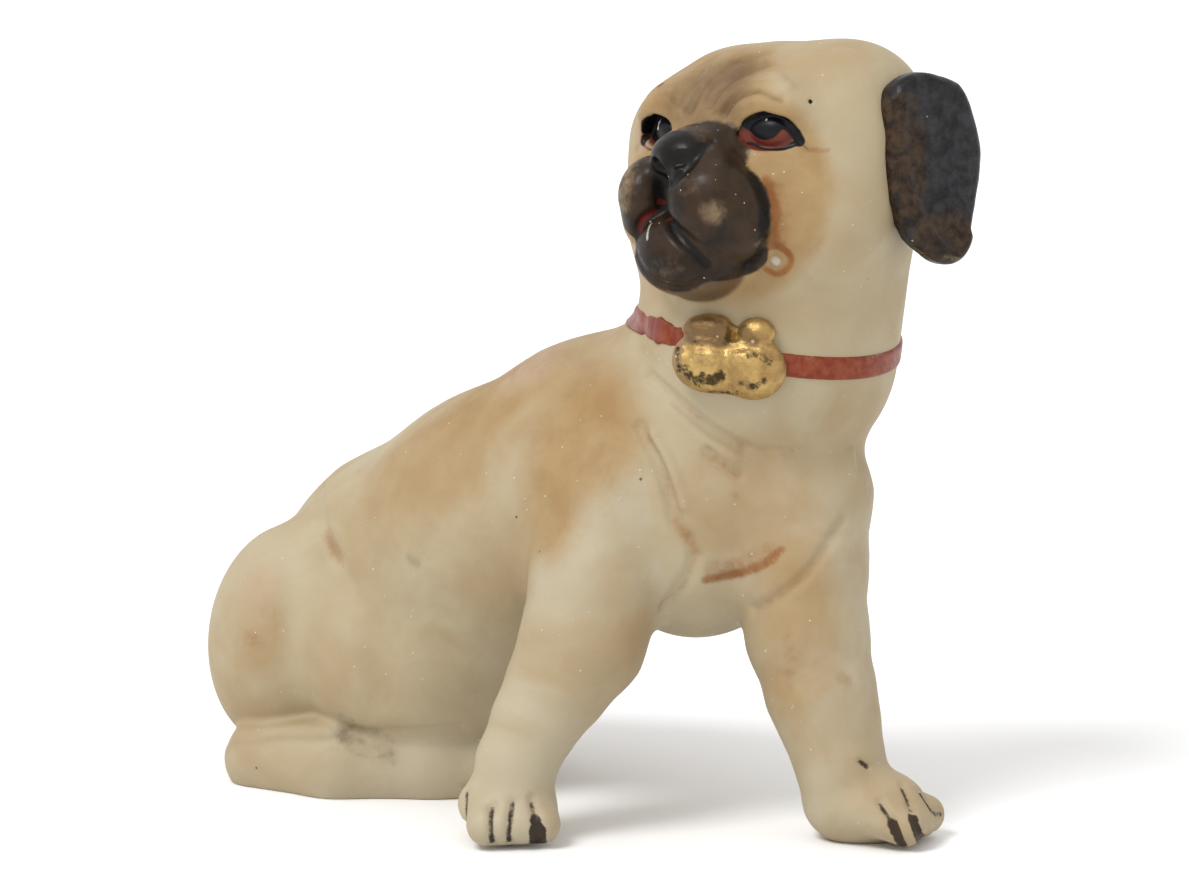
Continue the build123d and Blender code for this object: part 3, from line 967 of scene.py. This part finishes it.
def bisque(name, pale, warm, blush):
    """Painted bisque: a mottled ground, the coats laid over it, then dust, pits and specks."""
    m = Paints(name)
    broad = m.noise(16, 3, 0.55, 0.4, 0)
    cloud = m.noise(5, 4, 0.6, 0.3, 3)
    fine = m.noise(1.1, 4, 0.65, 0, 7)
    grain = m.noise(0.25, 2, 0.6, 0, 11)
    colour = m.mix(m.between(broad, 0.35, 0.68), srgb(*pale), srgb(*warm))
    colour = m.mix(m.times(m.between(cloud, 0.5, 0.75), 0.5), colour, srgb(*blush))
    airy = m.wander(cloud, 0.35)
    ragged = m.plus(m.wander(cloud, 0.6), m.wander(fine, 0.5))
    crisp = m.wander(fine, 0.35)
    shares = {}
    for coat, tint, deep, low, high, wander, depth in (
            ("tan", (183, 146, 88), (172, 132, 76), 0, 1, airy, 0.85),
            ("pink", (204, 176, 150), (190, 150, 124), 0, 1, airy, 0.8),
            # grey is painted shade low on the body, and dirt on the hind foot.
            ("grey", (160, 146, 110), (124, 110, 84), 0, 1, airy, 0.75),
            ("brown", (114, 86, 56), (92, 68, 44), 0, 1, airy, 0.92),
            ("orange", (170, 108, 42), (142, 84, 30), 0.2, 0.9, ragged, 0.92),
            ("dark", (58, 41, 28), (23, 17, 13), 0.3, 0.8, ragged, 0.95),
            ("black", (28, 25, 24), (16, 14, 13), 0.3, 0.75, crisp, 0.95),
            ("red", (128, 34, 24), (90, 22, 18), 0.3, 0.7, crisp, 0.9),
            ("iris", (132, 64, 50), (88, 43, 35), 0.3, 0.7, crisp, 1),
            ("ink", (26, 26, 32), (14, 14, 18), 0.3, 0.7, crisp, 1),
            # white carries the painted highlights on the eyes and the chin.
            ("white", (236, 230, 220), (214, 206, 196), 0.3, 0.7, crisp, 0.9)):
        amount = m.coat(coat)
        present = m.between(amount, 0, 0.12)
        shares[coat] = m.between(m.plus(amount, m.times(wander, present)), low, high)
        tinted = m.mix(m.between(cloud, 0.35, 0.7), srgb(*tint), srgb(*deep))
        colour = m.mix(m.times(shares[coat], depth), colour, tinted)
    dust = m.plus(m.dots(2, 0.64, 0.16, 0), m.dots(4, 0.8, 0.22, 2))
    dust = m.most(dust, m.dots(1.2, 0.32, 0.14, 9))
    colour = m.mix(m.times(dust, 0.75), colour, srgb(232, 226, 212))
    pits = m.most(m.dots(6, 0.16, 0.4, 5), m.dots(2.6, 0.2, 0.2, 8))
    colour = m.mix(m.times(pits, 0.8), colour, srgb(88, 70, 52))
    glaze = m.most(m.most(shares["dark"], shares["black"]), m.most(shares["iris"], shares["ink"]))
    rough = m.blend(glaze, m.between(cloud, 0.3, 0.7, 0.52, 0.66), m.between(fine, 0.3, 0.7, 0.32, 0.48))
    height = m.plus(m.times(grain, 0.012), m.times(fine, 0.05))
    height = m.plus(height, m.plus(m.times(cloud, 0.16), m.times(pits, -0.15)))
    m.bump(m.plus(height, m.times(dust, 0.06)))
    return m.finish(colour, rough, m.blend(glaze, 0.35, 0.14), m.blend(glaze, 0, 0.06))


def ear_enamel():
    m = Paints("ear_enamel")
    cloud = m.noise(4, 4, 0.6, 0.1, 2)
    fine = m.noise(0.9, 4, 0.65, 0, 5)
    worn = m.noise(1.8, 5, 0.65, 0.1, 9)
    share = m.plus(m.coat("brown"), m.wander(cloud, 1.4))
    black = m.mix(m.between(worn, 0.35, 0.7), srgb(32, 30, 32), srgb(62, 60, 63))
    brown = m.mix(m.between(worn, 0.35, 0.65), srgb(34, 25, 19), srgb(80, 60, 42))
    colour = m.mix(m.between(share, 0.3, 0.8), black, brown)
    # Pale on the ear's raised rims: rubbed wear and painted highlight.
    rubbed_and_highlit = m.between(m.plus(m.coat("wear"), m.wander(fine, 0.8)), 0.5, 0.9)
    colour = m.mix(m.times(rubbed_and_highlit, 0.7), colour, srgb(150, 130, 98))
    dust = m.plus(m.dots(1.8, 0.3, 0.18, 1), m.dots(3.6, 0.3, 0.26, 4))
    colour = m.mix(m.times(dust, 0.7), colour, srgb(214, 208, 196))
    m.bump(m.plus(m.times(fine, 0.08), m.plus(m.times(cloud, 0.5), m.times(worn, 0.1))))
    return m.finish(colour, m.between(worn, 0.3, 0.7, 0.26, 0.46), 0.16, 0.05)


def collar_enamel():
    m = Paints("collar_enamel")
    cloud = m.noise(3, 4, 0.6, 0.1, 1)
    fine = m.noise(0.7, 4, 0.7, 0, 6)
    streak = m.noise(1.5, 3, 0.6, 0.2, 3)
    red = m.mix(m.between(streak, 0.35, 0.65), srgb(144, 52, 24), srgb(160, 80, 46))
    pink = m.mix(m.between(cloud, 0.35, 0.65), srgb(162, 98, 86), srgb(140, 68, 54))
    faded = m.between(m.plus(m.coat("pink"), m.wander(cloud, 0.6)), 0.3, 0.8)
    colour = m.mix(faded, red, pink)
    bare = m.between(m.plus(m.coat("wear"), m.wander(fine, 0.8)), 0.45, 0.95)
    colour = m.mix(m.times(bare, 0.75), colour, srgb(206, 184, 152))
    colour = m.mix(m.between(m.coat("dark"), 0.3, 0.7), colour, srgb(70, 40, 34))
    dust = m.dots(2, 0.3, 0.18, 2)
    colour = m.mix(m.times(dust, 0.7), colour, srgb(232, 222, 206))
    m.bump(m.plus(m.times(fine, 0.06), m.times(streak, 0.15)))
    return m.finish(colour, m.between(cloud, 0.3, 0.7, 0.32, 0.5), 0.2, 0.08)


def gilding():
    m = Paints("gilding")
    cloud = m.noise(2.6, 5, 0.65, 0.1, 1)
    fine = m.noise(0.5, 4, 0.7, 0, 4)
    worn = m.noise(1.4, 5, 0.7, 0.2, 8)
    gold = m.mix(m.between(cloud, 0.3, 0.7), srgb(232, 194, 118), srgb(176, 138, 82))
    bare = m.between(m.plus(m.coat("wear"), m.wander(worn, 1.5)), 0.55, 0.8)
    colour = m.mix(m.times(bare, 0.85), gold, srgb(160, 126, 78))
    colour = m.mix(m.times(m.between(m.coat("brown"), 0.2, 0.9), 0.85), colour, srgb(128, 98, 62))
    soot = m.plus(m.coat("dark"), m.times(m.minus(m.plus(fine, worn), 1), 1.5))
    tarnish = m.between(soot, 0.4, 1)
    colour = m.mix(m.times(tarnish, 0.9), colour, srgb(28, 21, 14))
    glint = m.dots(1.1, 0.35, 0.25, 3)
    colour = m.mix(m.times(glint, 0.6), colour, srgb(255, 232, 170))
    shine = m.times(m.minus(1, m.times(bare, 0.9)), m.minus(1, tarnish))
    m.bump(m.plus(m.times(fine, 0.06), m.plus(m.times(cloud, 0.25), m.times(worn, 0.1))))
    rough = m.between(worn, 0.3, 0.7, 0.26, 0.5)
    return m.finish(colour, rough, m.blend(tarnish, 0.5, 0.08), 0, m.times(shine, 0.6))


BODY_PAINT = bisque("bisque_body", (203, 187, 153), (190, 166, 126), (203, 180, 148))
HEAD_PAINT = bisque("bisque_head", (204, 187, 152), (194, 170, 130), (203, 182, 148))
LEGS_PAINT = bisque("bisque_legs", (204, 190, 160), (190, 167, 128), (203, 182, 148))
EAR_PAINT = ear_enamel()
COLLAR_PAINT = collar_enamel()
GOLD_PAINT = gilding()


# ------ the pieces

def around(middle, reach):
    return middle - np.array(reach), middle + np.array(reach)


def add(name, part, field, material, slot, zones, strokes, laid_at=None):
    """Makes a piece, paints it, hangs it from the root and hides its CAD node. laid_at moves points to
    the marks.
    """
    points, triangles, caps = part
    piece = make_piece(name + "_cast", points, triangles, caps, field)
    paint(piece, coats_on(laid_at(points) if laid_at else points, zones, strokes))
    piece.data.materials.append(material)
    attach(piece, "root")
    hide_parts(name)


def laid_strokes(field, strokes):
    lines = dropped(field, [(place, points) for _, place, points, *_ in strokes])
    return [(coat, line, *rest) for (coat, _, _, *rest), line in zip(strokes, lines)]


def laid_creases(field, creases):
    lines = dropped(field, [(place, points) for place, points, *_ in creases])
    return [(line, *rest) for (_, _, *rest), line in zip(creases, lines)]


sculpted = pressed(clay, laid_creases(clay, CREASES))
strokes = laid_strokes(clay, STROKES)


def head_half(p):
    return np.maximum(sculpted(p), -above_collar(p))


def body_half(p):
    return np.maximum(sculpted(p), above_collar(p))


# The distance between samples of each field, mm.
BODY_STEP, HEAD_STEP, EAR_STEP, BAND_STEP, BOW_STEP = 0.44, 0.29, 0.25, 0.25, 0.2
BODY_BOX = FIGURE.out([(-54, -42, -2), (48, 44, 72)])
HEAD_BOX = FIGURE.out([(-4, -44, 54), (52, 12, 106)])
EAR_REACH, COLLAR_REACH, BOW_REACH = (16, 16, 22), (23, 23, 7), (10, 8, 9)

# The castings cut from the body, and how far outside its own shape each one is cut, mm.
CUTS = [
    ("foreleg_right", foreleg_right, 1, LEGS_PAINT, "bisque_legs"),
    ("foreleg_left", foreleg_left, 1, LEGS_PAINT, "bisque_legs"),
    ("hind_foot_right", slab_right, 0.8, LEGS_PAINT, "bisque_legs"),
    ("hind_foot_left", slab_left, 0.8, LEGS_PAINT, "bisque_legs"),
    ("tail", tail, 0.6, BODY_PAINT, "bisque_body"),
]
rest = skin(body_half, BODY_BOX, BODY_STEP)
for name, shape, margin, material, slot in CUTS:
    part, rest = cut(*rest[:2], shape(rest[0]) - margin)
    add(name, part, sculpted, material, slot, ZONES, strokes)
add("body_shell", rest, sculpted, BODY_PAINT, "bisque_body", ZONES, strokes)
head = skin(head_half, HEAD_BOX, HEAD_STEP)
add("head_shell", head, sculpted, HEAD_PAINT, "bisque_head", ZONES, strokes)

near_ear = pressed(ear_plate, laid_creases(ear_plate, EAR_CREASES))
ear_strokes = laid_strokes(ear_plate, EAR_STROKES)
near_box = around(EAR.origin, EAR_REACH)
far_box = around(flipped(EAR.origin[None, :])[0], EAR_REACH)
for name, field, box, laid_at in (("ear_left", near_ear, near_box, None),
                                  ("ear_right", lambda p: near_ear(flipped(p)), far_box, flipped)):
    ear = skin(field, box, EAR_STEP)
    add(name, ear, field, EAR_PAINT, "ear_enamel", EAR_ZONES, ear_strokes, laid_at)

collar = pressed(band, laid_creases(clay, BAND_CREASES))
collar_part = skin(collar, around(COLLAR.origin, COLLAR_REACH), BAND_STEP)
band_strokes = laid_strokes(clay, BAND_STROKES)
add("collar_band", collar_part, collar, COLLAR_PAINT, "collar_enamel", BAND_ZONES, band_strokes)
bell = pressed(bow, laid_creases(bow, BOW_CREASES))
bell_part = skin(bell, around(BOW.origin, BOW_REACH), BOW_STEP)
add("bow_bell", bell_part, bell, GOLD_PAINT, "gilding", (), laid_strokes(bow, BOW_STROKES))


# ------ the studio

LENS, SENSOR = 286, 36       # mm
TARGET = (0, -12.5, 47.6)    # what the camera looks at, from the figure, mm
CAMERA_REACH = 1.2           # how far away it stands, m
CAMERA_RISE = radians(11)
SUN_FROM, SUN_STRENGTH, SUN_SPREAD = (-0.5, -0.5, 0.95), 1.9, radians(24)
SKY_STRENGTH = 0.98
FLOOR_HALF, FLOOR_GREY, FLOOR_ROUGHNESS = 3, 0.9, 0.7


def add_camera():
    camera = bpy.data.cameras.new("camera")
    camera.lens = LENS
    camera.sensor_width = SENSOR
    spot = bpy.data.objects.new("camera", camera)
    bpy.context.scene.collection.objects.link(spot)
    target = Vector(FIGURE.out([TARGET])[0]) * MM
    spot.location = target + CAMERA_REACH * Vector((0, -cos(CAMERA_RISE), sin(CAMERA_RISE)))
    spot.rotation_euler = (pi / 2 - CAMERA_RISE, 0, 0)
    bpy.context.scene.camera = spot


def add_sun():
    """A broad distant lamp, as even over the whole floor as a light tent."""
    lamp = bpy.data.lights.new("key", "SUN")
    lamp.energy = SUN_STRENGTH
    lamp.angle = SUN_SPREAD
    spot = bpy.data.objects.new("key", lamp)
    spot.rotation_euler = Vector(SUN_FROM).to_track_quat("Z", "Y").to_euler()
    bpy.context.scene.collection.objects.link(spot)


def add_floor():
    mesh = bpy.data.meshes.new("floor")
    corners = [(x * FLOOR_HALF, y * FLOOR_HALF, 0) for x, y in ((-1, -1), (1, -1), (1, 1), (-1, 1))]
    mesh.from_pydata(corners, [], [(0, 1, 2, 3)])
    floor = bpy.data.objects.new("floor", mesh)
    bpy.context.scene.collection.objects.link(floor)
    surface = bpy.data.materials.new("floor")
    surface.use_nodes = True
    shader = surface.node_tree.nodes["Principled BSDF"]
    shader.inputs["Base Color"].default_value = (FLOOR_GREY, FLOOR_GREY, FLOOR_GREY, 1)
    shader.inputs["Roughness"].default_value = FLOOR_ROUGHNESS
    mesh.materials.append(surface)


def add_sky():
    world = bpy.data.worlds.new("world")
    world.use_nodes = True
    background = world.node_tree.nodes["Background"]
    background.inputs["Color"].default_value = (1, 1, 1, 1)
    background.inputs["Strength"].default_value = SKY_STRENGTH
    bpy.context.scene.world = world


add_camera()
add_floor()
add_sun()
add_sky()
bpy.context.scene.view_settings.view_transform = "Standard"
